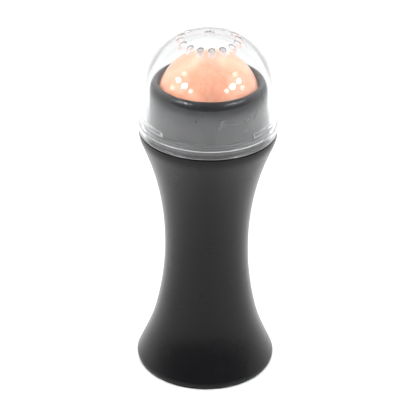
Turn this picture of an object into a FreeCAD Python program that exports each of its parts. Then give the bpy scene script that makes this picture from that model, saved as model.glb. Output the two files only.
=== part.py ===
import FreeCAD, Part
import math
import os

# A hand-held facial roller that stands upright: a waisted handle with a closing plate under it, a neck
# socket with a low-friction seat, one stone ball, a twist-off retaining ring and a clear snap-on cap.
# Millimetres. The origin is the centre of the foot, +Z is up and -Y is the front.

V = FreeCAD.Vector
UP = V(0, 0, 1)

# ---- Driving dimensions --------------------------------------------------------------------------------
OVERALL_HEIGHT = 91.9
BALL_R = 12.5
BALL_Z = 74.4

# Handle
SEAM_Z = 0.5                 # the closing plate's flange shows this much under the casing
HIP_R, HIP_Z = 17.9, 1.1     # widest place, just above the foot
SHOULDER_R = 17.1
SHOULDER_Z = 66.4
WALL = 1.8
# Height and radius along the outer flare, between the hip and the shoulder
FLARE = [(HIP_Z, HIP_R), (4.45, 16.45), (10.95, 13.9), (16.9, 12.4), (26.0, 11.03), (35.3, 10.65),
         (44.55, 11.34), (55.2, 13.58), (62.5, 16.17)]
LIP_START_Z = 65.2           # the flare ends in a nearly upright lip
FOOT_BORE_R, FOOT_BORE_TOP = 15.0, 3.4
SHOULDER_BORE_R, SHOULDER_BORE_BOTTOM = 13.9, 62.6
COUNTERBORE_R, COUNTERBORE_Z = 15.5, 64.8
SNAP_DEPTH = 0.25            # how far a snap bead stands out of its spigot
SNAP_CLEAR = 0.05
SNAP_FOOT, SNAP_CREST = 0.4, 0.15   # half the height of a bead at its foot and at its crest
FOOT_SNAP_Z, SHOULDER_SNAP_Z = 2.25, 63.45

# Neck, seat and ring
NECK_R = 14.85
CAP_BEAD_R, CAP_BEAD_Z = 15.1, 68.95
CAP_BEAD_HALF = 0.45
NECK_TOP = 69.5
UPSTAND_R, UPSTAND_TOP = 13.3, 71.75
LUG_R, LUG_BOTTOM = 13.95, 70.8
POCKET_R = 10.75
POCKET_FLOOR = 59.8
SEAT_TOP = 66.1
BALL_GAP = 0.4               # free space round the ball, away from its pads
PAD_GAP = 0.04               # running clearance between a pad and the ball
RING_BOTTOM = 69.65
RING_LEDGE = 71.95
RING_R_BOTTOM, RING_R_WALL_TOP = 14.82, 14.27
RIM_START_Z = 76.2           # where the rim's rounded edge leaves the wall
RIM_TOP = 79.8
RIM_CREST_R = 12.95
RIM_IN_R, RIM_IN_Z = 12.4, 79.42
THROAT_R = 12.15             # smaller than the ball, so the ring holds it in
BAYONETS = 3
BAYONET_DEG = 32.0
BAYONET_START_DEG = 60.0     # the first lug's azimuth, from the front

# Cap
CAP_R = 16.8
CAP_WALL = 1.3
CAP_BOTTOM = 66.55
CAP_BEVEL = 0.15
FLANGE_R = 17.1
FLANGE_HEIGHT = 2.1
RIB_R = 15.15                # inner face of the cap's ribs
GUIDE_BOTTOM, GUIDE_HEIGHT, GUIDE_SPAN_DEG = 69.7, 1.35, 93.0    # two long ribs that centre the cap
SNAP_BOTTOM, SNAP_HEIGHT, SNAP_SPAN_DEG = 68.0, 0.3, 20.0        # four short ribs under the neck's bead
SNAP_TURN_DEG = 24.0
VENTS = 16
VENT_R, VENT_CIRCLE_R = 0.78, 7.0
VENT_PHASE_DEG = 5.0

FRONT_DEG = -90.0            # the front is at -Y


class Outline:
    """A closed outline in the half-plane beside the axis, drawn as radius and height and turned about Z."""

    def __init__(self, r, z):
        self.first = V(r, 0, z)
        self.last = self.first
        self.edges = []

    def line(self, r, z):
        end = V(r, 0, z)
        self.edges.append(Part.LineSegment(self.last, end).toShape())
        self.last = end
        return self

    def arc(self, via, end):
        middle, end = V(via[0], 0, via[1]), V(end[0], 0, end[1])
        self.edges.append(Part.Arc(self.last, middle, end).toShape())
        self.last = end
        return self

    def spline(self, points):
        through = [V(r, 0, z) for r, z in points]
        curve = Part.BSplineCurve()
        curve.interpolate([self.last] + through)
        self.edges.append(curve.toShape())
        self.last = through[-1]
        return self

    def snap(self, r, z, depth):
        """A snap bead or groove on a wall of radius r, centred on z, whichever way the outline runs."""
        way = 1 if z > self.last.z else -1
        self.line(r, z - way * SNAP_FOOT).line(r + depth, z - way * SNAP_CREST)
        return self.line(r + depth, z + way * SNAP_CREST).line(r, z + way * SNAP_FOOT)

    def round_ball(self, radius, z):
        """An arc concentric with the ball, from here to the height z."""
        start = math.atan2(self.last.z - BALL_Z, self.last.x)
        end = math.asin((z - BALL_Z) / radius)
        middle = (start + end) / 2
        via = (radius * math.cos(middle), BALL_Z + radius * math.sin(middle))
        return self.arc(via, (radius * math.cos(end), z))

    def turned(self, angle=360.0, start_deg=0.0):
        if (self.last - self.first).Length > 1e-6:
            self.line(self.first.x, self.first.z)
        face = Part.Face(Part.Wire(self.edges))
        solid = face.revolve(V(0, 0, 0), UP, angle)
        solid.rotate(V(0, 0, 0), UP, start_deg)
        return solid


def on_ball(radius, z):
    """The distance from the axis, at the height z, of a sphere concentric with the ball."""
    return math.sqrt(radius ** 2 - (z - BALL_Z) ** 2)


def bayonet_deg(i):
    """The azimuth of a bayonet lug on the neck and, at rest, of the tab under it on the ring."""
    return FRONT_DEG + BAYONET_START_DEG + i * 360.0 / BAYONETS


def arc_block(r_in, r_out, z_low, z_high, span_deg, centre_deg):
    """A block bent round the axis, centred on an azimuth."""
    outline = Outline(r_in, z_low).line(r_out, z_low).line(r_out, z_high).line(r_in, z_high)
    return outline.turned(span_deg, centre_deg - span_deg / 2)


def rounded_ends(solid, radius):
    """The solid with its four radial end edges rounded."""
    ends = [e for e in solid.Edges if e.Length < 1.0 and abs(e.tangentAt(e.FirstParameter).z) < 1e-6]
    return solid.makeFillet(radius, ends)


def base_plate():
    """The closing plate: a flat foot, a spigot with a snap bead, and stiffening ribs inside."""
    edge_r = HIP_R - 0.25
    spigot_r = FOOT_BORE_R - SNAP_CLEAR
    spigot_wall, spigot_lead = 1.3, 0.3
    inner_r = spigot_r - spigot_wall
    floor_z, spigot_top = 1.6, 3.3
    round_r = 0.3
    bevel_height, bevel_width = 0.12, 0.35
    corner = round_r * (1 - math.sqrt(0.5))
    outline = Outline(0, 0).line(edge_r - round_r, 0)
    outline.arc((edge_r - corner, corner), (edge_r, round_r))
    outline.line(edge_r, SEAM_Z - bevel_height).line(edge_r - bevel_width, SEAM_Z).line(spigot_r, SEAM_Z)
    outline.snap(spigot_r, FOOT_SNAP_Z, SNAP_DEPTH)
    outline.line(spigot_r - spigot_lead, spigot_top).line(inner_r, spigot_top)
    outline.line(inner_r, floor_z).line(0, floor_z)
    plate = outline.turned()
    hub_r, hub_wall = 4.0, 1.0
    ribs, rib_height, rib_width = 6, 1.4, 1.0
    root = 0.2                   # how deep the hub and the ribs are rooted in the floor
    overlap = 0.5                # and in each other and the spigot
    hub = Part.makeCylinder(hub_r, rib_height + root, V(0, 0, floor_z - root))
    hub = hub.cut(Part.makeCylinder(hub_r - hub_wall, rib_height, V(0, 0, floor_z)))
    pieces = [hub]
    for i in range(ribs):
        rib = Part.makeBox(inner_r - hub_r + 2 * overlap, rib_width, rib_height + root,
                           V(hub_r - overlap, -rib_width / 2, floor_z - root))
        rib.rotate(V(0, 0, 0), UP, i * 360.0 / ribs)
        pieces.append(rib)
    return plate.fuse(pieces).removeSplitter()


def handle_shell():
    """The waisted casing: an even wall, with a bore at the foot and a stepped bore at the shoulder."""
    inner = [(r - WALL, z) for z, r in reversed(FLARE[2:-1])]
    seam_edge_r = HIP_R - 0.55
    lip_top_z = SHOULDER_Z - 0.35
    lip_round = 0.3
    corner = lip_round * (1 - math.sqrt(0.5))
    outline = Outline(FOOT_BORE_R, SEAM_Z).line(seam_edge_r, SEAM_Z)
    outline.arc((HIP_R - 0.12, SEAM_Z + 0.2), (HIP_R, HIP_Z))
    lip = [(SHOULDER_R - 0.06, LIP_START_Z), (SHOULDER_R, lip_top_z)]
    outline.spline([(r, z) for z, r in FLARE[1:]] + lip)
    outline.arc((SHOULDER_R - corner, SHOULDER_Z - corner), (SHOULDER_R - lip_round, SHOULDER_Z))
    outline.line(COUNTERBORE_R, SHOULDER_Z).line(COUNTERBORE_R, COUNTERBORE_Z)
    outline.line(SHOULDER_BORE_R, COUNTERBORE_Z)
    outline.snap(SHOULDER_BORE_R, SHOULDER_SNAP_Z, SNAP_DEPTH + SNAP_CLEAR)
    outline.line(SHOULDER_BORE_R, SHOULDER_BORE_BOTTOM)
    outline.spline(inner + [(FOOT_BORE_R, FOOT_BORE_TOP)])
    outline.snap(FOOT_BORE_R, FOOT_SNAP_Z, SNAP_DEPTH + SNAP_CLEAR)
    return outline.turned()


def neck_socket():
    """The socket in the shoulder: flange, neck with the cap's bead, seat pocket and bayonet lugs."""
    spigot_r = SHOULDER_BORE_R - SNAP_CLEAR
    spigot_wall, pocket_wall, floor_thick = 1.2, 1.15, 1.2
    lead = 0.3                   # the lead-in bevel at the spigot's lower end
    slot_top = 67.0
    flange_r, flange_bevel = COUNTERBORE_R - SNAP_CLEAR, 0.1
    neck_bevel = 0.2
    well_r = POCKET_R + pocket_wall
    well_bottom, well_round = POCKET_FLOOR - floor_thick, 1.6
    round_reach = well_round * (1 - math.sqrt(0.5))
    seat_line_z = BALL_Z - math.sqrt((BALL_R + BALL_GAP) ** 2 - POCKET_R ** 2)
    outline = Outline(0, well_bottom).line(well_r - well_round, well_bottom)
    outline.arc((well_r - round_reach, well_bottom + round_reach), (well_r, well_bottom + well_round))
    # A moulded slot between the pocket's wall and the spigot keeps the walls even.
    outline.line(well_r, slot_top).line(spigot_r - spigot_wall, slot_top)
    outline.line(spigot_r - spigot_wall, SHOULDER_BORE_BOTTOM).line(spigot_r - lead, SHOULDER_BORE_BOTTOM)
    outline.line(spigot_r, SHOULDER_BORE_BOTTOM + lead)
    outline.snap(spigot_r, SHOULDER_SNAP_Z, SNAP_DEPTH).line(spigot_r, COUNTERBORE_Z)
    outline.line(flange_r, COUNTERBORE_Z).line(flange_r, SHOULDER_Z - flange_bevel)
    outline.line(flange_r - flange_bevel, SHOULDER_Z).line(NECK_R, SHOULDER_Z)
    outline.line(NECK_R, CAP_BEAD_Z - CAP_BEAD_HALF)
    outline.arc((CAP_BEAD_R, CAP_BEAD_Z), (NECK_R, CAP_BEAD_Z + CAP_BEAD_HALF))
    outline.line(NECK_R - neck_bevel, NECK_TOP).line(UPSTAND_R, NECK_TOP).line(UPSTAND_R, UPSTAND_TOP)
    outline.line(on_ball(BALL_R + BALL_GAP, UPSTAND_TOP), UPSTAND_TOP)
    outline.round_ball(BALL_R + BALL_GAP, seat_line_z)
    outline.line(POCKET_R, POCKET_FLOOR).line(0, POCKET_FLOOR)
    socket = outline.turned()
    stop_deg, stop_gap_deg = 3.0, 0.5
    root = 0.3                   # how deep the lugs and stops are rooted in the upstand
    parts = []
    for i in range(BAYONETS):
        azimuth = bayonet_deg(i)
        parts.append(arc_block(UPSTAND_R - root, LUG_R, LUG_BOTTOM, UPSTAND_TOP, BAYONET_DEG, azimuth))
        stop_at = azimuth - BAYONET_DEG / 2 - stop_gap_deg - stop_deg / 2
        parts.append(arc_block(UPSTAND_R - root, LUG_R, NECK_TOP - root, UPSTAND_TOP, stop_deg, stop_at))
    return socket.fuse(parts).removeSplitter()


def ball_seat():
    """The low-friction cup under the ball, with raised round pads, a drain hole and bevelled edges."""
    outer_r = POCKET_R - SNAP_CLEAR
    hollow = BALL_R + BALL_GAP + 0.1
    bottom_bevel, top_bevel = 0.5, 0.2
    outline = Outline(0, POCKET_FLOOR).line(outer_r - bottom_bevel, POCKET_FLOOR)
    outline.line(outer_r, POCKET_FLOOR + bottom_bevel)
    outline.line(outer_r, SEAT_TOP - top_bevel).line(outer_r - top_bevel, SEAT_TOP)
    outline.line(on_ball(hollow, SEAT_TOP), SEAT_TOP)
    middle = math.acos((BALL_Z - SEAT_TOP) / hollow) / 2
    outline.arc((hollow * math.sin(middle), BALL_Z - hollow * math.cos(middle)), (0, BALL_Z - hollow))
    cup = outline.turned()
    pads, pad_r, pad_tilt, pad_length = 4, 1.5, 38.0, 1.0
    pad_start = BALL_R - 0.3     # inside the ball's own space, which is cut away below
    swept = Part.makeSphere(BALL_R + PAD_GAP, V(0, 0, BALL_Z))
    bosses = []
    for i in range(pads):
        boss = Part.makeCylinder(pad_r, pad_length, V(0, 0, pad_start))
        boss.rotate(V(0, 0, 0), V(0, 1, 0), 180.0 - pad_tilt)
        boss.translate(V(0, 0, BALL_Z))
        boss.rotate(V(0, 0, 0), UP, 45.0 + i * 360.0 / pads)
        bosses.append(boss.cut(swept))
    cup = cup.fuse(bosses).removeSplitter()
    drain_r, drain_length = 1.25, 5.0
    drain = Part.makeCylinder(drain_r, drain_length, V(0, 0, POCKET_FLOOR - 1))
    return cup.cut(drain)


def turn_arrow():
    """The flat outline of the turn arrow: a sagging shaft with a barbed head, standing in the XZ plane."""
    half = V(0, 0, 0.17)         # half the width of the shaft
    tail, middle, neck = V(-5.2, 0, 75.85), V(-0.5, 0, 74.4), V(4.2, 0, 74.95)
    shaft = [Part.Arc(tail + half, middle + half, neck + half).toShape(),
             Part.LineSegment(neck + half, neck - half).toShape(),
             Part.Arc(neck - half, middle - half, tail - half).toShape(),
             Part.LineSegment(tail - half, tail + half).toShape()]
    head = [neck + V(-0.1, 0, -0.9), neck + V(1.5, 0, 1.0), neck + V(-0.9, 0, 0.95)]
    head = Part.makePolygon(head + head[:1])
    return [Part.Face(Part.Wire(shaft)), Part.Face(head)]


def retaining_ring():
    """The twist-off collar: tapered wall, thick rounded rim, ball throat, bayonet tabs and its marks."""
    tab_r = UPSTAND_R + 0.12
    bore_r = LUG_R + 0.15
    tab_top = LUG_BOTTOM - 0.15
    hollow = BALL_R + 0.25
    throat_z = BALL_Z + math.sqrt(hollow ** 2 - THROAT_R ** 2)
    bevel = 0.15
    root = 0.3                   # how deep the tabs are rooted in the wall

    def rim_point(slope_deg):
        """A point of the rim's elliptical outer quarter."""
        slope = math.radians(slope_deg)
        return (RIM_CREST_R + (RING_R_WALL_TOP - RIM_CREST_R) * math.cos(slope),
                RIM_START_Z + (RIM_TOP - RIM_START_Z) * math.sin(slope))

    inner_round = ((RIM_CREST_R + 2.5 * RIM_IN_R) / 3.5, (2.5 * RIM_TOP + RIM_IN_Z) / 3.5)
    outline = Outline(bore_r, RING_BOTTOM).line(RING_R_BOTTOM - bevel, RING_BOTTOM)
    outline.line(RING_R_BOTTOM, RING_BOTTOM + bevel).line(RING_R_WALL_TOP, RIM_START_Z)
    outline.spline([rim_point(25.0), rim_point(55.0), (RIM_CREST_R, RIM_TOP)])
    outline.arc(inner_round, (RIM_IN_R, RIM_IN_Z)).line(THROAT_R, throat_z)
    outline.round_ball(hollow, RING_LEDGE).line(bore_r, RING_LEDGE)
    ring = outline.turned()
    tabs = []
    for i in range(BAYONETS):
        tabs.append(arc_block(tab_r, bore_r + root, RING_BOTTOM, tab_top, BAYONET_DEG, bayonet_deg(i)))
    ring = ring.fuse(tabs).removeSplitter()
    # The arrow is cut to an even depth into the tapered wall.
    depth, reach = 0.12, 3.0
    core = Part.makeCone(RING_R_BOTTOM - depth, RING_R_WALL_TOP - depth, RIM_START_Z - RING_BOTTOM,
                         V(0, 0, RING_BOTTOM))
    arrow_deg = 30.0
    for face in turn_arrow():
        face.translate(V(0, -RING_R_BOTTOM - reach / 2, 0))
        prism = face.extrude(V(0, 1.5 * reach, 0)).cut(core)
        prism.rotate(V(0, 0, 0), UP, arrow_deg)
        ring = ring.cut(prism)
    dimple_deg, dimple_z, dimple_r, dimple_out = -4.9, 77.0, 0.45, 0.2
    dimple = Part.makeSphere(dimple_r, V(0, -RING_R_WALL_TOP - dimple_out, dimple_z))
    dimple.rotate(V(0, 0, 0), UP, dimple_deg)
    return ring.cut(dimple)


def stone_ball():
    """The polished stone ball."""
    return Part.makeSphere(BALL_R, V(0, 0, BALL_Z))


def clear_cap():
    """The clear cover: flanged mouth, dome, vents, a gate mark, long guide ribs and short snap ribs."""
    inner_r = CAP_R - CAP_WALL
    dome_z = OVERALL_HEIGHT - CAP_R
    flange_top = CAP_BOTTOM + FLANGE_HEIGHT
    half = math.sqrt(0.5)
    root = 0.3                   # how deep a rib is rooted in the wall
    outline = Outline(inner_r + CAP_BEVEL, CAP_BOTTOM).line(FLANGE_R - CAP_BEVEL, CAP_BOTTOM)
    outline.line(FLANGE_R, CAP_BOTTOM + CAP_BEVEL).line(FLANGE_R, flange_top - CAP_BEVEL)
    outline.line(FLANGE_R - CAP_BEVEL, flange_top).line(CAP_R, flange_top).line(CAP_R, dome_z)
    outline.arc((CAP_R * half, dome_z + CAP_R * half), (0, OVERALL_HEIGHT)).line(0, dome_z + inner_r)
    outline.arc((inner_r * half, dome_z + inner_r * half), (inner_r, dome_z))
    outline.line(inner_r, CAP_BOTTOM + CAP_BEVEL)
    cap = outline.turned()
    ribs = []
    for azimuth in (0.0, 180.0):
        rib = arc_block(RIB_R, inner_r + root, GUIDE_BOTTOM, GUIDE_BOTTOM + GUIDE_HEIGHT,
                        GUIDE_SPAN_DEG, azimuth)
        ribs.append(rounded_ends(rib, root))
    for side in (FRONT_DEG, -FRONT_DEG):
        for turn in (-SNAP_TURN_DEG, SNAP_TURN_DEG):
            ribs.append(arc_block(RIB_R, inner_r + root, SNAP_BOTTOM, SNAP_BOTTOM + SNAP_HEIGHT,
                                  SNAP_SPAN_DEG, side + turn))
    cap = cap.fuse(ribs).removeSplitter()
    cutters = []
    vent_reach = 6.0
    for i in range(VENTS):
        vent = Part.makeCylinder(VENT_R, vent_reach, V(VENT_CIRCLE_R, 0, OVERALL_HEIGHT - vent_reach))
        vent.rotate(V(0, 0, 0), UP, FRONT_DEG + VENT_PHASE_DEG + i * 360.0 / VENTS)
        cutters.append(vent)
    gate_r, gate_depth = 1.12, 0.2
    cutters.append(Part.makeCylinder(gate_r, 1.0, V(0, 0, OVERALL_HEIGHT - gate_depth)))
    return cap.cut(cutters)


NODES = {
    "base_plate": base_plate,
    "handle_shell": handle_shell,
    "neck_socket": neck_socket,
    "ball_seat": ball_seat,
    "stone_ball": stone_ball,
    "retaining_ring": retaining_ring,
    "clear_cap": clear_cap,
}

os.makedirs("parts", exist_ok=True)
for name, make in NODES.items():
    shape = make()
    if len(shape.Solids) != 1 or not shape.isValid():
        raise ValueError(f"{name} is not one valid solid")
    shape = shape.Solids[0]
    shape.exportStep(os.path.join("parts", name + ".step"))
    box = shape.BoundBox
    print(f"{name}: {shape.Volume / 1000:.2f} cm3, r {box.XMax:.2f}, z {box.ZMin:.2f} to {box.ZMax:.2f}")
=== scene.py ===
import math

import bmesh
import bpy
import numpy as np
from mathutils import Euler, Matrix, Vector, noise


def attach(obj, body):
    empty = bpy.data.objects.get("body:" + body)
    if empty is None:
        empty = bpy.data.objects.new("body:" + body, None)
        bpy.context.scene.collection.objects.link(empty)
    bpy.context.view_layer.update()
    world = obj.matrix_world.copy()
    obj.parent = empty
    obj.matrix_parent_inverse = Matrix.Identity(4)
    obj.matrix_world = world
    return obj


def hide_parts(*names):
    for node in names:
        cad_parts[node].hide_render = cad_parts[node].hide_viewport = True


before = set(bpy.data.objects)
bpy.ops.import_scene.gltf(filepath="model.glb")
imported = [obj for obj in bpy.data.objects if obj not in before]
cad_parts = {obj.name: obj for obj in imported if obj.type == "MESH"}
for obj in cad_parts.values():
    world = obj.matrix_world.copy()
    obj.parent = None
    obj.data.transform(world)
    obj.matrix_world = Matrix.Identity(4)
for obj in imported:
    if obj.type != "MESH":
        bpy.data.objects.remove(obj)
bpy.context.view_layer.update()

MM = 0.001

# ---- Sizes, in millimetres, the same as the CAD's apart from the vents' ---------------------------------
BALL_R, BALL_Z = 12.5, 74.4
CAP_R, CAP_WALL, CAP_BOTTOM, OVERALL_HEIGHT = 16.8, 1.3, 66.55, 91.9
FLANGE_R, FLANGE_HEIGHT = 17.1, 2.1
VENTS, VENT_R, VENT_CIRCLE_R, VENT_PHASE_DEG = 16, 0.68, 7.0, 5.0
VENT_EDGE = 0.19             # the rounding at both mouths of a vent, where the CAD has a plain hole
BAND_IN, BAND_OUT = VENT_CIRCLE_R - 1.6, VENT_CIRCLE_R + 1.6      # the part of the dome that holds the vents
GATE_R, GATE_DEPTH = 1.12, 0.2
RIB_DEPTH = 0.35             # how far the ribs stand in from the cap's inner wall
GUIDE_LOW, GUIDE_HIGH, GUIDE_HALF_DEG = 69.7, 71.05, 46.5
SNAP_LOW, SNAP_HIGH, SNAP_HALF_DEG, SNAP_TURN_DEG = 68.0, 68.3, 10.0, 24.0
CAP_IN_R, DOME_Z, FLANGE_TOP = CAP_R - CAP_WALL, OVERALL_HEIGHT - CAP_R, CAP_BOTTOM + FLANGE_HEIGHT

HIP_R, HIP_Z, SEAM_Z = 17.9, 1.1, 0.5
SHOULDER_R, SHOULDER_Z, LIP_START_Z, LIP_EDGE = 17.1, 66.4, 65.2, 0.3
WALL = 1.8
FLARE = [(HIP_Z, HIP_R), (4.45, 16.45), (10.95, 13.9), (16.9, 12.4), (26.0, 11.03), (35.3, 10.65),
         (44.55, 11.34), (55.2, 13.58), (62.5, 16.17)]
FOOT_BORE_R, FOOT_BORE_TOP = 15.0, 3.4
SHOULDER_BORE_R, SHOULDER_BORE_BOTTOM = 13.9, 62.6
COUNTERBORE_R, COUNTERBORE_Z = 15.5, 64.8

RING_BOTTOM, RING_LEDGE, RING_BORE_R = 69.65, 71.95, 14.1
RING_R_BOTTOM, RING_R_WALL_TOP, RIM_START_Z, RIM_TOP, RIM_CREST_R = 14.82, 14.27, 76.2, 79.8, 12.95
RIM_IN_R, RIM_IN_Z = 12.4, 79.42
THROAT_R, RING_HOLLOW = 12.15, 12.75

# The collar's marks. The arrow lies on the unrolled wall: millimetres from ARROW_DEG, and heights.
ARROW_DEG, ARROW_DEPTH, ARROW_HALF_WIDTH, ARROW_SOFT = 30.0, 0.12, 0.17, 0.07
ARROW_TAIL, ARROW_MIDDLE, ARROW_NECK = Vector((-5.2, 75.85)), Vector((-0.5, 74.4)), Vector((4.2, 74.95))
ARROW_HEAD = [ARROW_NECK + Vector(step) for step in ((-0.1, -0.9), (1.5, 1.0), (-0.9, 0.95))]
DIMPLE_DEG, DIMPLE_Z, DIMPLE_R, DIMPLE_OUT = -4.9, 77.0, 0.45, 0.2
# The part of the wall that has them, where its mesh is finer.
MARKS_LOW, MARKS_HIGH = 73.6, 77.6
MARKS_FROM_DEG, MARKS_TO_DEG = -10, 60


# ---- Mesh helpers ----------------------------------------------------------------------------------------
def rounded(corners, steps=5, support=0.05):
    """A closed profile from (radius, height, corner radius): each corner becomes an arc, with a support point
    beside it so that the shading of the flat stretch next to it stays flat."""
    out = []
    for i, (r, z, fillet) in enumerate(corners):
        if fillet <= 0:
            out.append((r, z))
            continue
        here = Vector((r, z))
        before = Vector(corners[i - 1][:2]) - here
        after = Vector(corners[(i + 1) % len(corners)][:2]) - here
        half = before.angle(after) / 2
        reach = fillet / math.tan(half)
        inward = (before.normalized() + after.normalized()).normalized()
        centre = here + inward * (fillet / math.sin(half))
        start = here + before.normalized() * reach
        end = here + after.normalized() * reach
        if before.length > 2 * (reach + support):
            out.append(tuple(start + before.normalized() * support))
        spoke = start - centre
        turn = spoke.angle_signed(end - centre)
        for k in range(steps + 1):
            out.append(tuple(centre + Matrix.Rotation(-turn * k / steps, 2) @ spoke))
        if after.length > 2 * (reach + support):
            out.append(tuple(end + after.normalized() * support))
    return out


def natural_spline(points):
    """The natural cubic spline through (height, radius) points, as a function of height."""
    x = np.array([p[0] for p in points])
    y = np.array([p[1] for p in points])
    h = np.diff(x)
    system = np.eye(len(x))
    right = np.zeros(len(x))
    for i in range(1, len(x) - 1):
        system[i, i - 1:i + 2] = h[i - 1], 2 * (h[i - 1] + h[i]), h[i]
        right[i] = 6 * ((y[i + 1] - y[i]) / h[i] - (y[i] - y[i - 1]) / h[i - 1])
    bend = np.linalg.solve(system, right)

    def value(at):
        i = int(np.clip(np.searchsorted(x, at) - 1, 0, len(h) - 1))
        a, b = (x[i + 1] - at) / h[i], (at - x[i]) / h[i]
        curve = ((a ** 3 - a) * bend[i] + (b ** 3 - b) * bend[i + 1]) * h[i] ** 2 / 6
        return float(a * y[i] + b * y[i + 1] + curve)
    return value


def finish_mesh(name, bm, sharp_deg=38.0):
    """An object from bm, in millimetres until here, with smooth faces and its hard edges marked sharp."""
    bmesh.ops.recalc_face_normals(bm, faces=bm.faces)
    for face in bm.faces:
        face.smooth = True
    for edge in bm.edges:
        edge.smooth = edge.calc_face_angle(0.0) < math.radians(sharp_deg)
    bmesh.ops.scale(bm, vec=(MM, MM, MM), verts=bm.verts)
    mesh = bpy.data.meshes.new(name)
    bm.to_mesh(mesh)
    bm.free()
    obj = bpy.data.objects.new(name, mesh)
    bpy.context.scene.collection.objects.link(obj)
    return obj


def even_turn(count):
    """Azimuths of evenly spaced columns, in degrees from the front towards +X."""
    return [360.0 * i / count for i in range(count)]


def place(radius, azimuth_deg, z):
    """The point at an azimuth measured from the front (-Y) towards +X."""
    a = math.radians(azimuth_deg)
    return Vector((radius * math.sin(a), -radius * math.cos(a), z))


def add_rows(bm, rows, columns, closed):
    """Turns rows of (radius, height) about Z. A radius may be a function of azimuth and height."""
    grid = []
    for radius, z in rows:
        if not callable(radius) and radius < 1e-6:
            grid.append([bm.verts.new((0, 0, z))])
            continue
        read = radius if callable(radius) else (lambda a, h, r=radius: r)
        grid.append([bm.verts.new(place(read(a, z), a, z)) for a in columns])
    pairs = list(zip(grid, grid[1:]))
    if closed:
        pairs.append((grid[-1], grid[0]))
    for low, high in pairs:
        join_rows(bm, low, high)
    return grid


def join_rows(bm, low, high, material=0):
    """Faces between two rings of vertices, or between a ring and a pole."""
    count = max(len(low), len(high))
    for i in range(count):
        j = (i + 1) % count
        corners = [low[i % len(low)], low[j % len(low)], high[j % len(high)], high[i % len(high)]]
        unique = list(dict.fromkeys(corners))
        if len(unique) > 2:
            bm.faces.new(unique).material_index = material


def even_steps(start, end, step):
    """Values from start to end, both included, about step apart."""
    count = max(1, round(abs(end - start) / step))
    return [start + (end - start) * i / count for i in range(count + 1)]


def fade(value, edge, soft):
    """1 up to edge, falling smoothly to 0 over the width soft past it."""
    t = min(max(value - edge, 0.0) / soft, 1.0)
    return 1 - t * t * (3 - 2 * t)


def smooth_window(value, low, high, soft):
    """1 between low and high, falling smoothly to 0 over the width soft outside them."""
    return fade(max(low - value, value - high), 0.0, soft)


def angle_from(azimuth, centre):
    """The angle between two azimuths, from 0 to 180 degrees."""
    return abs((azimuth - centre + 180) % 360 - 180)


# ---- Pieces ----------------------------------------------------------------------------------------------
def handle_shell():
    """The waisted casing, with its seam bevel, upright lip and open, stepped bores."""
    flare_end = FLARE[-1][0]
    lip_lean, lip_top_z = 0.06, SHOULDER_Z - 0.35
    outer = natural_spline(FLARE + [(LIP_START_Z, SHOULDER_R - lip_lean), (lip_top_z, SHOULDER_R)])
    inner = natural_spline([(FOOT_BORE_TOP, FOOT_BORE_R)] + [(z, r - WALL) for z, r in FLARE[2:-1]]
                           + [(SHOULDER_BORE_BOTTOM, SHOULDER_BORE_R)])

    # The seam's flat, its bevel, the flare and the lip.
    bevel_across, bevel_up = 0.36, 0.58
    rows = [(FOOT_BORE_R, SEAM_Z), (HIP_R - 0.5, SEAM_Z), (HIP_R - 0.42, SEAM_Z + 0.015)]
    for t in even_steps(math.radians(15), math.radians(90), math.radians(15)):
        rows.append((HIP_R - bevel_across + bevel_across * math.sin(t), HIP_Z - bevel_up * math.cos(t)))
    rows += [(outer(z), z) for z in even_steps(HIP_Z, flare_end, 0.7)[1:]]
    rows += [(outer(z), z) for z in even_steps(flare_end, lip_top_z, 0.3)[1:]]
    for t in even_steps(0.0, math.radians(90), math.radians(15)):
        rows.append((SHOULDER_R - LIP_EDGE + LIP_EDGE * math.cos(t),
                     SHOULDER_Z - LIP_EDGE + LIP_EDGE * math.sin(t)))

    # The bores, from the lip down to the foot.
    chamfer = 0.06
    rows += [(COUNTERBORE_R + chamfer, SHOULDER_Z), (COUNTERBORE_R, SHOULDER_Z - chamfer)]
    rows += [(COUNTERBORE_R, COUNTERBORE_Z), (SHOULDER_BORE_R, COUNTERBORE_Z)]
    rows += [(inner(z), z) for z in even_steps(SHOULDER_BORE_BOTTOM, FOOT_BORE_TOP, 1.5)]
    columns = even_turn(224)
    bm = bmesh.new()
    add_rows(bm, rows, columns, closed=True)
    return finish_mesh("handle_casing", bm)


def polyline_distance(point, line):
    """How far point is from a line through several points, in millimetres."""
    best = math.inf
    for a, b in zip(line, line[1:]):
        span = b - a
        t = max(0.0, min(1.0, (point - a).dot(span) / span.length_squared))
        best = min(best, (point - a - span * t).length)
    return best


def inside_triangle(point, corners):
    """How far point is inside a triangle, in millimetres; negative outside it."""
    least = math.inf
    for a, b in zip(corners, corners[1:] + corners[:1]):
        edge = (b - a).normalized()
        least = min(least, edge.x * (point.y - a.y) - edge.y * (point.x - a.x))
    return least


def arrow_shaft():
    """The arrow's shaft, a circular arc through three points of the unrolled wall."""
    a, b, c = ARROW_TAIL, ARROW_MIDDLE, ARROW_NECK
    system = np.array([[2 * (b.x - a.x), 2 * (b.y - a.y)], [2 * (c.x - a.x), 2 * (c.y - a.y)]])
    right = np.array([b.length_squared - a.length_squared, c.length_squared - a.length_squared])
    centre = Vector(np.linalg.solve(system, right))
    start = math.atan2(a.y - centre.y, a.x - centre.x)
    end = math.atan2(c.y - centre.y, c.x - centre.x)
    if start > 0:
        start -= 2 * math.pi
    radius, points = (a - centre).length, 24
    return [centre + radius * Vector((math.cos(t), math.sin(t))) for t in np.linspace(start, end, points)]


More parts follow.
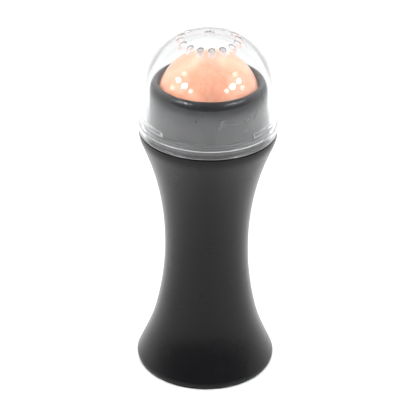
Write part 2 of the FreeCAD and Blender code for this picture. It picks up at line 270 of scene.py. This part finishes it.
def arrow_depth(azimuth, z, shaft):
    """How deep the turn arrow is cut at a place on the ring's wall."""
    reach = math.radians(28)        # the arrow ends well inside this
    turn = math.radians((azimuth - ARROW_DEG + 180) % 360 - 180)
    if abs(turn) > reach:
        return 0.0
    point = Vector((RING_R_BOTTOM * math.sin(turn), z))
    inside = max(ARROW_HALF_WIDTH - polyline_distance(point, shaft), inside_triangle(point, ARROW_HEAD))
    return ARROW_DEPTH * fade(-inside, 0.0, ARROW_SOFT)


def ring_wall_r(z):
    """The collar's outer radius: a tapered wall, then the rounded rim."""
    if z <= RIM_START_Z:
        share = (z - RING_BOTTOM) / (RIM_START_Z - RING_BOTTOM)
        return RING_R_BOTTOM + (RING_R_WALL_TOP - RING_R_BOTTOM) * share
    rise = min((z - RIM_START_Z) / (RIM_TOP - RIM_START_Z), 1.0)
    return RIM_CREST_R + (RING_R_WALL_TOP - RIM_CREST_R) * math.sqrt(1 - rise * rise)


def retaining_ring():
    """The collar: tapered wall, thick rounded rim, ball throat, and its engraved arrow and dimple."""
    shaft = arrow_shaft()

    def marked_r(azimuth, z):
        radius = ring_wall_r(z) - arrow_depth(azimuth, z, shaft)
        side = RING_R_WALL_TOP * math.sin(math.radians(angle_from(azimuth, DIMPLE_DEG)))
        away = math.hypot(side, z - DIMPLE_Z)
        if away < DIMPLE_R:
            radius = min(radius, RING_R_WALL_TOP + DIMPLE_OUT - math.sqrt(DIMPLE_R ** 2 - away ** 2))
        return radius

    # The bottom edge with its small rounding, the wall, the band with the marks, and the rim.
    rows = [(RING_BORE_R, RING_BOTTOM)]
    for inward, up in ((0.2, 0.0), (0.13, 0.0), (0.04, 0.04), (0.01, 0.13)):
        rows.append((RING_R_BOTTOM - inward, RING_BOTTOM + up))
    rows += [(ring_wall_r(RING_BOTTOM + 0.2), RING_BOTTOM + 0.2)]
    rows += [(ring_wall_r(z), z) for z in even_steps(RING_BOTTOM + 1.0, MARKS_LOW - 0.2, 0.9)]
    rows += [(marked_r, z) for z in even_steps(MARKS_LOW, MARKS_HIGH, 0.09)]
    for t in even_steps(math.radians(26), math.radians(90), math.radians(3.5)):
        rows.append((RIM_CREST_R + (RING_R_WALL_TOP - RIM_CREST_R) * math.cos(t),
                     RIM_START_Z + (RIM_TOP - RIM_START_Z) * math.sin(t)))
    for t in even_steps(math.radians(75), math.radians(0), math.radians(15)):
        rows.append((RIM_CREST_R - (RIM_CREST_R - RIM_IN_R) * math.cos(t),
                     RIM_IN_Z + (RIM_TOP - RIM_IN_Z) * math.sin(t)))

    # The throat, the hollow round the ball and the ledge over the neck.
    throat_z = BALL_Z + math.sqrt(RING_HOLLOW ** 2 - THROAT_R ** 2)
    rows += [((RIM_IN_R + THROAT_R) / 2, (RIM_IN_Z + throat_z) / 2), (THROAT_R + 0.01, throat_z + 0.05)]
    for z in even_steps(throat_z - 0.05, RING_LEDGE, 0.4):
        rows.append((math.sqrt(RING_HOLLOW ** 2 - (z - BALL_Z) ** 2), z))
    rows += [(RING_BORE_R, RING_LEDGE)]
    fine = even_steps(MARKS_FROM_DEG, MARKS_TO_DEG, 0.33)
    coarse = even_steps(MARKS_TO_DEG, MARKS_FROM_DEG + 360, 1.45)[1:-1]
    bm = bmesh.new()
    add_rows(bm, rows, fine + coarse, closed=True)
    return finish_mesh("retaining_collar", bm)


# Mesh steps of the vents: along each side of a sector, from a hole out to there, and over a mouth's edge.
VENT_SIDE_STEPS, VENT_LAYERS, VENT_EDGE_STEPS = 12, 6, 4


def vent_band(bm, surface_r):
    """The band of the dome that holds the vents: each sector is a frame of faces from a round hole out to the
    sector's sides. Returns each hole's centre with its ring of vertices, and the function that gives the
    vertex over a point of the band."""
    sector = 360.0 / VENTS
    along, across = sector / VENT_SIDE_STEPS, (BAND_OUT - BAND_IN) / VENT_SIDE_STEPS
    shared = {}

    def vertex(point):
        x, y = point.x, point.y
        key = (round(x, 5), round(y, 5))
        if key not in shared:
            shared[key] = bm.verts.new((x, y, DOME_Z + math.sqrt(surface_r ** 2 - x * x - y * y)))
        return shared[key]

    holes = []
    for i in range(VENTS):
        middle = VENT_PHASE_DEG + i * sector
        low, high = middle - sector / 2, middle + sector / 2
        border = [place(BAND_OUT, a, 0) for a in even_steps(low, high, along)[:-1]]
        border += [place(r, high, 0) for r in even_steps(BAND_OUT, BAND_IN, across)[:-1]]
        border += [place(BAND_IN, a, 0) for a in even_steps(high, low, along)[:-1]]
        border += [place(r, low, 0) for r in even_steps(BAND_IN, BAND_OUT, across)[:-1]]
        hub = place(VENT_CIRCLE_R, middle, 0)
        turns = [math.atan2(p.y - hub.y, p.x - hub.x) for p in border]
        rims = []
        for j, turn in enumerate(turns):
            even = turns[0] + 2 * math.pi * j / len(border)
            drift = (turn - even + math.pi) % (2 * math.pi) - math.pi
            angle = even + drift / 2
            rims.append(hub + (VENT_R + VENT_EDGE) * Vector((math.cos(angle), math.sin(angle), 0)))
        rings = []
        for k in range(VENT_LAYERS + 1):
            share = (k / VENT_LAYERS) ** 1.35       # the layers are closer together beside the hole
            rings.append([vertex(rim.lerp(p, share)) for rim, p in zip(rims, border)])
        for near, far in zip(rings, rings[1:]):
            join_rows(bm, near, far)
        holes.append((hub, rings[0]))
    return holes, vertex


# The cap's painted finishes: a pale painted highlight on the flange and rib edges, a dark painted ring of
# shade at each vent's outer mouth, and pale painted light on the vents' walls and inner mouths.
EDGE_PAINTED_HIGHLIGHT, VENT_MOUTH_PAINTED_SHADE, VENT_WALL_PAINTED_LIGHT = 1, 2, 3      # the cap's materials after its clear one


def dome_z(radius, r):
    """The height of the dome of that radius at the distance r from the axis."""
    return DOME_Z + math.sqrt(max(radius ** 2 - r * r, 0.0))


def dome_rows(radius, start, end):
    """Rows of the dome of that radius, from one elevation on it to another."""
    radii = [radius * math.cos(t) for t in even_steps(start, end, math.radians(2.0))]
    return [(r, dome_z(radius, r)) for r in radii]


def ribbed_r(azimuth, z):
    """The inner radius of the cap where it has its two guide ribs and four snap ribs."""
    guide_crest_deg, guide_end_deg, guide_crest_in, guide_slope = GUIDE_HALF_DEG - 0.6, 1.2, 0.3, 0.28
    snap_crest_deg, snap_end_deg, snap_crest_in, snap_slope = SNAP_HALF_DEG - 0.4, 1.0, 0.05, 0.07
    depth = 0.0
    for side in (90, 270):
        across = fade(angle_from(azimuth, side), guide_crest_deg, guide_end_deg)
        along = smooth_window(z, GUIDE_LOW + guide_crest_in, GUIDE_HIGH - guide_crest_in, guide_slope)
        depth = max(depth, RIB_DEPTH * across * along)
    for side in (0, 180):
        for turn in (-SNAP_TURN_DEG, SNAP_TURN_DEG):
            across = fade(angle_from(azimuth, side + turn), snap_crest_deg, snap_end_deg)
            along = smooth_window(z, SNAP_LOW + snap_crest_in, SNAP_HIGH - snap_crest_in, snap_slope)
            depth = max(depth, RIB_DEPTH * across * along)
    return CAP_IN_R - depth


def crown(bm, vertex, radius, columns, centre_rows):
    """The part of a dome inside the circle of vents, joined to the band round it."""
    edge = [vertex(place(BAND_IN, a, 0)) for a in columns]
    radii = even_steps(BAND_IN, GATE_R + 0.25, 0.5)[1:]
    made = add_rows(bm, [(r, dome_z(radius, r)) for r in radii] + centre_rows, columns, closed=False)
    join_rows(bm, edge, made[0])


def vent_walls(bm, outer_holes, inner_holes):
    """Joins the holes of the two skins, with a small rounding at each mouth."""
    steps = VENT_EDGE_STEPS
    for (hub, outer_ring), (_, inner_ring) in zip(outer_holes, inner_holes):
        rings = [outer_ring]
        for sign, mouth, radius in ((-1, outer_ring, CAP_R), (1, inner_ring, CAP_IN_R)):
            made = []
            for k in range(1, steps + 1):
                t = math.radians(90.0 * k / steps)
                ring = []
                for v in mouth:
                    out = Vector((v.co.x - hub.x, v.co.y - hub.y, 0)).normalized()
                    base = hub + out * (VENT_R + VENT_EDGE * (1 - math.sin(t)))
                    level = dome_z(radius, math.hypot(base.x, base.y)) + sign * VENT_EDGE * (1 - math.cos(t))
                    ring.append(bm.verts.new((base.x, base.y, level)))
                made.append(ring)
            rings += made if sign < 0 else made[::-1]
        rings.append(inner_ring)
        # The outer mouth gets the dark painted ring of shade; the wall and the inner mouth get the pale
        # painted light.
        for k, (a, b) in enumerate(zip(rings, rings[1:])):
            join_rows(bm, a, b, material=VENT_MOUTH_PAINTED_SHADE if k < steps else VENT_WALL_PAINTED_LIGHT)


def paint_edge_highlights(bm):
    """Gives the painted highlight to the two outer edges of the flange and to the edges of the guide ribs: a
    pale grey that stands in for the bright lines where these edges catch the light.
    """
    bands = [(CAP_R + 0.03, FLANGE_R + 0.1, FLANGE_TOP - 0.1, FLANGE_TOP + 0.05),
             (FLANGE_R - 0.1, FLANGE_R + 0.1, CAP_BOTTOM - 0.05, CAP_BOTTOM + 0.12),
             (CAP_IN_R - RIB_DEPTH + 0.02, CAP_IN_R - 0.02, GUIDE_LOW - 0.1, GUIDE_HIGH + 0.1)]
    for face in bm.faces:
        middle = face.calc_center_median()
        radius = math.hypot(middle.x, middle.y)
        if any(r0 < radius < r1 and z0 < middle.z < z1 for r0, r1, z0, z1 in bands):
            face.material_index = EDGE_PAINTED_HIGHLIGHT


def clear_cap():
    """The clear cover: dome, vents with rounded mouths, gate mark, flanged mouth and inner ribs."""
    columns = [VENT_PHASE_DEG - 180.0 / VENTS + a for a in even_turn(VENTS * VENT_SIDE_STEPS)]
    bm = bmesh.new()

    # Outer skin below the vents, the flange and mouth, and the inner skin up to the vents.
    rows = dome_rows(CAP_R, math.acos(BAND_OUT / CAP_R), 0.0)[1:]
    rows += [(CAP_R, z) for z in even_steps(DOME_Z, FLANGE_TOP + 0.2, 1.2)[1:]]
    rows += rounded([(CAP_R, FLANGE_TOP + 0.2, 0), (CAP_R, FLANGE_TOP, 0.05), (FLANGE_R, FLANGE_TOP, 0.1),
                     (FLANGE_R, CAP_BOTTOM, 0.14), (CAP_IN_R, CAP_BOTTOM, 0.14),
                     (CAP_IN_R, CAP_BOTTOM + 0.4, 0)])[1:-1]

    # The heights of the inner rows, close together where the ribs rise and fall.
    ribs = [67.2, SNAP_LOW - 0.2] + even_steps(SNAP_LOW - 0.08, SNAP_HIGH + 0.08, 0.035)
    ribs += [SNAP_HIGH + 0.2, 69.0] + even_steps(GUIDE_LOW, GUIDE_LOW + 0.32, 0.045)
    ribs += even_steps(GUIDE_LOW + 0.45, GUIDE_HIGH - 0.45, 0.2)
    ribs += even_steps(GUIDE_HIGH - 0.32, GUIDE_HIGH, 0.045) + [GUIDE_HIGH + 0.3]
    rows += [(ribbed_r, z) for z in ribs]
    rows += [(CAP_IN_R, z) for z in even_steps(GUIDE_HIGH + 1.2, DOME_Z, 1.0)]
    rows += dome_rows(CAP_IN_R, 0.0, math.acos(BAND_OUT / CAP_IN_R))[1:-1]
    grid = add_rows(bm, rows, columns, closed=False)

    outer_holes, outer_vertex = vent_band(bm, CAP_R)
    inner_holes, inner_vertex = vent_band(bm, CAP_IN_R)
    for vertex, row in ((outer_vertex, grid[0]), (inner_vertex, grid[-1])):
        join_rows(bm, [vertex(place(BAND_OUT, a, 0)) for a in columns], row)

    # The two crowns inside the circle of vents; the outer one has the gate mark.
    top = dome_z(CAP_R, GATE_R)
    gate_rows = [(GATE_R + 0.05, dome_z(CAP_R, GATE_R + 0.05)), (GATE_R, top - 0.04),
                 (GATE_R - 0.03, top - GATE_DEPTH + 0.06)]
    gate_rows += [(r, top - GATE_DEPTH) for r in (GATE_R - 0.09, GATE_R - 0.2, 0.0)]
    crown(bm, outer_vertex, CAP_R, columns, gate_rows)
    crown(bm, inner_vertex, CAP_IN_R, columns, [(r, dome_z(CAP_IN_R, r)) for r in (0.6, 0.0)])

    vent_walls(bm, outer_holes, inner_holes)
    paint_edge_highlights(bm)
    return finish_mesh("clear_cover", bm, sharp_deg=60.0)


def stone_ball():
    """The stone: a cube of quads blown into a sphere, with the slight unevenness of hand polishing."""
    cuts, uneven, waves = 47, 0.012, 2.3
    bm = bmesh.new()
    bmesh.ops.create_cube(bm, size=2.0)
    bmesh.ops.subdivide_edges(bm, edges=bm.edges, cuts=cuts, use_grid_fill=True)
    for v in bm.verts:
        x, y, z = v.co
        out = Vector((x * math.sqrt(1 - y * y / 2 - z * z / 2 + y * y * z * z / 3),
                      y * math.sqrt(1 - z * z / 2 - x * x / 2 + z * z * x * x / 3),
                      z * math.sqrt(1 - x * x / 2 - y * y / 2 + x * x * y * y / 3)))
        radius = BALL_R - uneven + uneven * noise.noise(out * waves)
        v.co = out.normalized() * radius + Vector((0, 0, BALL_Z))
    return finish_mesh("polished_stone", bm)


# ---- Materials -------------------------------------------------------------------------------------------
class Shader:
    """A node material with a Principled shader and short calls for the nodes that feed it. A value given to a
    node is either a number or colour for its socket, or the socket of another node to link."""

    def __init__(self, name, **values):
        self.material = bpy.data.materials.new(name)
        self.material.use_nodes = True
        self.tree = self.material.node_tree
        self.surface = self.tree.nodes["Principled BSDF"]
        self.output = self.tree.nodes["Material Output"]
        for key, value in values.items():
            self.surface.inputs[key.replace("_", " ")].default_value = value
        self.place = self.tree.nodes.new("ShaderNodeTexCoord").outputs["Object"]

    def node(self, kind, links=None, **values):
        made = self.tree.nodes.new(kind)
        for key, value in values.items():
            setattr(made, key, value)
        for key, value in (links or {}).items():
            socket = made.inputs[key]
            if isinstance(value, bpy.types.NodeSocket):
                self.tree.links.new(value, socket)
            else:
                socket.default_value = value
        return made

    def noise(self, scale, detail=3.0, roughness=0.5, distortion=0.0):
        made = self.node("ShaderNodeTexNoise", {"Vector": self.place, "Scale": scale, "Detail": detail,
                                                "Roughness": roughness, "Distortion": distortion})
        return made.outputs["Fac"]

    def ramp(self, value, stops):
        made = self.node("ShaderNodeValToRGB", {"Fac": value})
        elements = made.color_ramp.elements
        while len(elements) < len(stops):
            elements.new(0.5)
        for element, (at, colour) in zip(elements, stops):
            element.position = at
            element.color = (*colour, 1.0)
        return made.outputs["Color"]

    def scaled(self, value, low, high):
        made = self.node("ShaderNodeMapRange", {"Value": value, "To Min": low, "To Max": high})
        return made.outputs["Result"]

    def mixed(self, share, a, b):
        factor, colour_a, colour_b, result = 0, 6, 7, 2      # the colour sockets' places on a Mix node
        made = self.node("ShaderNodeMix", {factor: share, colour_a: a, colour_b: b}, data_type="RGBA")
        return made.outputs[result]

    def drive(self, name, socket):
        self.tree.links.new(socket, self.surface.inputs[name])

    def bump(self, height, strength, distance_mm, below=None):
        made = self.node("ShaderNodeBump", {"Height": height, "Strength": strength,
                                            "Distance": distance_mm * MM})
        if below is not None:
            self.tree.links.new(below, made.inputs["Normal"])
        return made.outputs["Normal"]


def satin_black():
    """Moulded black plastic with a fine, even texture and a satin sheen."""
    s = Shader("satin_black_plastic", Base_Color=(0.0033, 0.0033, 0.004, 1), Roughness=0.26,
               Specular_IOR_Level=0.21)
    mottled = s.noise(90.0, detail=4.0)
    s.drive("Roughness", s.scaled(mottled, 0.22, 0.31))
    grain = s.noise(5200.0, detail=2.0)
    flow = s.noise(260.0, detail=3.0)
    fine = s.bump(grain, 0.35, 0.012)
    s.drive("Normal", s.bump(flow, 0.12, 0.02, below=fine))
    return s.material


def gloss_black():
    """Polished black plastic with an uneven haze and faint orange peel."""
    s = Shader("gloss_black_plastic", Base_Color=(0.009, 0.009, 0.0105, 1), Roughness=0.28)
    haze = s.noise(220.0, detail=5.0)
    s.drive("Roughness", s.scaled(haze, 0.24, 0.34))
    peel = s.noise(420.0, detail=2.0)
    s.drive("Normal", s.bump(peel, 0.05, 0.01))
    return s.material


def seat_white():
    """Natural low-friction plastic, slightly waxy."""
    s = Shader("natural_acetal", Base_Color=(0.72, 0.71, 0.67, 1), Roughness=0.35, Subsurface_Weight=0.15,
               Subsurface_Scale=0.001)
    cloud = s.noise(180.0, detail=3.0)
    s.drive("Roughness", s.scaled(cloud, 0.3, 0.42))
    return s.material


def peach_stone():
    """Polished peach-coloured stone: cloudy bands, paler drifts, hair veins and depth under the polish."""
    s = Shader("peach_stone", Roughness=0.1, Subsurface_Weight=0.2, Subsurface_Scale=0.0015, IOR=1.54,
               Subsurface_Radius=(1.0, 0.45, 0.3))
    drift = s.noise(95.0, detail=5.0, roughness=0.55, distortion=1.2)
    peach = [(0.3, (0.78, 0.33, 0.205)), (0.52, (0.87, 0.41, 0.265)), (0.72, (0.91, 0.49, 0.345))]
    base = s.ramp(drift, peach)
    cloud = s.noise(34.0, detail=4.0, roughness=0.5, distortion=0.6)
    pale = s.ramp(cloud, [(0.45, (0, 0, 0)), (0.75, (1, 1, 1))])
    base = s.mixed(s.scaled(pale, 0.0, 0.45), base, (0.93, 0.59, 0.45, 1))
    vein = s.noise(60.0, detail=6.0, roughness=0.6, distortion=2.2)
    line = s.ramp(vein, [(0.485, (0, 0, 0)), (0.5, (1, 1, 1)), (0.515, (0, 0, 0))])
    base = s.mixed(s.scaled(line, 0.0, 0.16), base, (0.94, 0.72, 0.6, 1))
    s.drive("Base Color", base)
    s.drive("Roughness", s.scaled(cloud, 0.05, 0.1))
    pits = s.noise(900.0, detail=2.0)
    s.drive("Normal", s.bump(pits, 0.06, 0.01))
    return s.material


def clear_plastic():
    """Clear moulded plastic. Lamps shine through it, so that what it covers is lit."""
    s = Shader("clear_moulded_plastic", Base_Color=(0.955, 0.96, 0.965, 1), Roughness=0.015, IOR=1.585,
               Transmission_Weight=1.0)
    wave = s.noise(70.0, detail=2.0)
    s.drive("Normal", s.bump(wave, 0.08, 0.02))
    through = s.node("ShaderNodeBsdfTransparent", {"Color": (0.93, 0.94, 0.95, 1)})
    path = s.node("ShaderNodeLightPath")
    mix = s.node("ShaderNodeMixShader", {"Fac": path.outputs["Is Shadow Ray"]})
    s.tree.links.new(s.surface.outputs[0], mix.inputs[1])
    s.tree.links.new(through.outputs[0], mix.inputs[2])
    s.tree.links.new(mix.outputs[0], s.output.inputs["Surface"])
    return s.material


def painted_light_plastic(name, tone, alpha):
    """The clear plastic painted as a grey that scatters light, and alpha says how much: painted highlights,
    painted shade and painted light where its edges and vents bend light.
    """
    s = Shader(name, Base_Color=(tone, tone * 1.01, tone * 1.03, 1), Roughness=0.3, IOR=1.585, Alpha=alpha)
    uneven = s.noise(300.0, detail=2.0)
    s.drive("Roughness", s.scaled(uneven, 0.2, 0.45))
    return s.material


def pale_floor():
    """A plain pale surface, for the floor."""
    s = Shader("pale_floor", Base_Color=(0.88, 0.88, 0.88, 1), Roughness=0.6, Specular_IOR_Level=0.2)
    return s.material


def paint(obj, *materials):
    """Gives obj these materials in place of any that it has."""
    if obj.data.materials:
        obj.data.materials.clear()      # this also forgets which face has which material
    for material in materials:
        obj.data.materials.append(material)


# ---- The model -------------------------------------------------------------------------------------------
SATIN, GLOSS = satin_black(), gloss_black()

for node_name, finish in (("base_plate", SATIN), ("neck_socket", GLOSS), ("ball_seat", seat_white())):
    paint(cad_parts[node_name], finish)

# Over the clear plastic: a painted highlight on the edges, painted shade at the vents' outer mouths and
# painted light on the vents' walls.
CAP_FINISHES = [clear_plastic(), painted_light_plastic("clear_edge_painted_highlight", 0.55, 0.7),
                painted_light_plastic("clear_vent_mouth_painted_shade", 0.22, 0.85), painted_light_plastic("clear_vent_wall_painted_light", 0.92, 0.66)]
BUILT = [(handle_shell, [SATIN], "handle", "handle_shell", "handle_plastic"),
         (retaining_ring, [GLOSS], "ring", "retaining_ring", "collar_plastic"),
         (stone_ball, [peach_stone()], "ball", "stone_ball", "peach_stone"),
         (clear_cap, CAP_FINISHES, "cap", "clear_cap", "clear_plastic")]
for make, finishes, body, node_name, slot_name in BUILT:
    piece = make()
    paint(piece, *finishes)
    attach(piece, body)
    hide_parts(node_name)


# ---- Floor, light and camera -----------------------------------------------------------------------------
def floor():
    """A wide plain floor under the foot."""
    half = 6.0
    corners = [(-half, -half, 0), (half, -half, 0), (half, half, 0), (-half, half, 0)]
    mesh = bpy.data.meshes.new("floor")
    mesh.from_pydata(corners, [], [(0, 1, 2, 3)])
    obj = bpy.data.objects.new("floor", mesh)
    bpy.context.scene.collection.objects.link(obj)
    paint(obj, pale_floor())


def direction(azimuth_deg, elevation_deg):
    """The unit vector at an azimuth from the front towards +X, and an elevation above the horizon."""
    return place(math.cos(math.radians(elevation_deg)), azimuth_deg, math.sin(math.radians(elevation_deg)))


def area_light(name, location, target, width, height, radiance, shape="RECTANGLE", spread_deg=180.0,
               diffuse=True, glossy=True):
    """An area light that faces target, with its strength given as a radiance. It can be left out of diffuse
    light, or out of reflections and what is seen through the clear cap."""
    light = bpy.data.lights.new(name, "AREA")
    light.shape = shape
    light.size = width
    light.size_y = height
    light.spread = math.radians(spread_deg)
    area = width * height * (math.pi / 4 if shape == "DISK" else 1.0)
    light.energy = radiance * math.pi * area
    obj = bpy.data.objects.new(name, light)
    bpy.context.scene.collection.objects.link(obj)
    obj.location = location
    obj.rotation_euler = (Vector(target) - Vector(location)).to_track_quat("-Z", "Y").to_euler()
    obj.visible_diffuse = diffuse
    obj.visible_glossy = glossy
    obj.visible_transmission = glossy


def lamp(name, azimuth_deg, elevation_deg, size, radiance):
    """A round lamp on a sphere about the ball, facing it."""
    target = Vector((0, 0, BALL_Z * MM))
    distance = 0.62
    at = target + distance * direction(azimuth_deg, elevation_deg)
    area_light(name, at, target, size, size, radiance, "DISK", diffuse=False)


# Each lamp's name, azimuth and elevation in degrees seen from the ball, width in metres and radiance.
LAMPS = [("left_outer", -68.5, 35.6, 0.08, 26.0),
         ("left_inner", -50.0, 33.4, 0.1, 48.0),
         ("left_upper", -68.0, 48.0, 0.08, 3.0),
         ("left_lower", -72.0, 21.0, 0.08, 3.0),
         ("left_glow", -62.0, 33.0, 0.36, 0.5),
         ("right_outer", 67.0, 35.5, 0.08, 26.0),
         ("right_inner", 49.5, 34.0, 0.1, 48.0),
         ("right_upper", 71.0, 46.5, 0.08, 3.0),
         ("right_lower", 67.0, 24.5, 0.08, 3.0),
         ("right_glow", 60.0, 34.0, 0.36, 0.5)]


def studio():
    """A cross of round lamps in front on either side, one overhead panel, and three lights that fill the
    shadows without being seen in reflections."""
    for lamp_values in LAMPS:
        lamp(*lamp_values)
    middle = Vector((0, 0, OVERALL_HEIGHT * MM / 2))
    area_light("overhead", (0, 0.42, 0.72), middle, width=0.75, height=0.36, radiance=2.8)
    area_light("table_light", (0, -0.11, 0.6), (0, -0.03, 0), width=0.64, height=0.16, radiance=1.25,
               spread_deg=50, glossy=False)
    area_light("back_light", (0, 0.62, 0.52), middle, width=0.5, height=0.3, radiance=0.75,
               spread_deg=60, glossy=False)
    area_light("front_fill", (0, -0.7, 0.42), middle, width=0.6, height=0.3, radiance=0.92,
               spread_deg=50, glossy=False)


def room():
    """The world: a room that is bright behind the object and dim in front of it."""
    world = bpy.data.worlds.new("studio")
    bpy.context.scene.world = world
    world.use_nodes = True
    tree = world.node_tree
    shine = tree.nodes["Background"]
    view = tree.nodes.new("ShaderNodeTexCoord")
    split = tree.nodes.new("ShaderNodeSeparateXYZ")
    reach = tree.nodes.new("ShaderNodeMapRange")
    reach.interpolation_type = "SMOOTHSTEP"
    for name, value in (("From Min", -0.65), ("From Max", 0.4), ("To Min", 0.16), ("To Max", 1.0)):
        reach.inputs[name].default_value = value
    tree.links.new(view.outputs["Generated"], split.inputs[0])
    tree.links.new(split.outputs["Y"], reach.inputs["Value"])
    tree.links.new(reach.outputs["Result"], shine.inputs["Color"])
    shine.inputs["Strength"].default_value = 1.0


def camera():
    """The camera stands well in front, above the object, and looks down at it with a long lens."""
    data = bpy.data.cameras.new("camera")
    data.sensor_width = 36.0
    data.lens = 147.1
    data.clip_start, data.clip_end = 0.01, 20.0
    obj = bpy.data.objects.new("camera", data)
    bpy.context.scene.collection.objects.link(obj)
    obj.location = (0.24 * MM, -371.84 * MM, 258.3 * MM)
    pitch, roll = math.radians(30.0), math.radians(0.831)
    tilt = Euler((math.pi / 2 - pitch, 0, 0)).to_matrix()
    obj.rotation_euler = (tilt @ Matrix.Rotation(roll, 3, "Z")).to_euler()
    bpy.context.scene.camera = obj


floor()
studio()
room()
camera()
bpy.context.scene.view_settings.view_transform = "Standard"
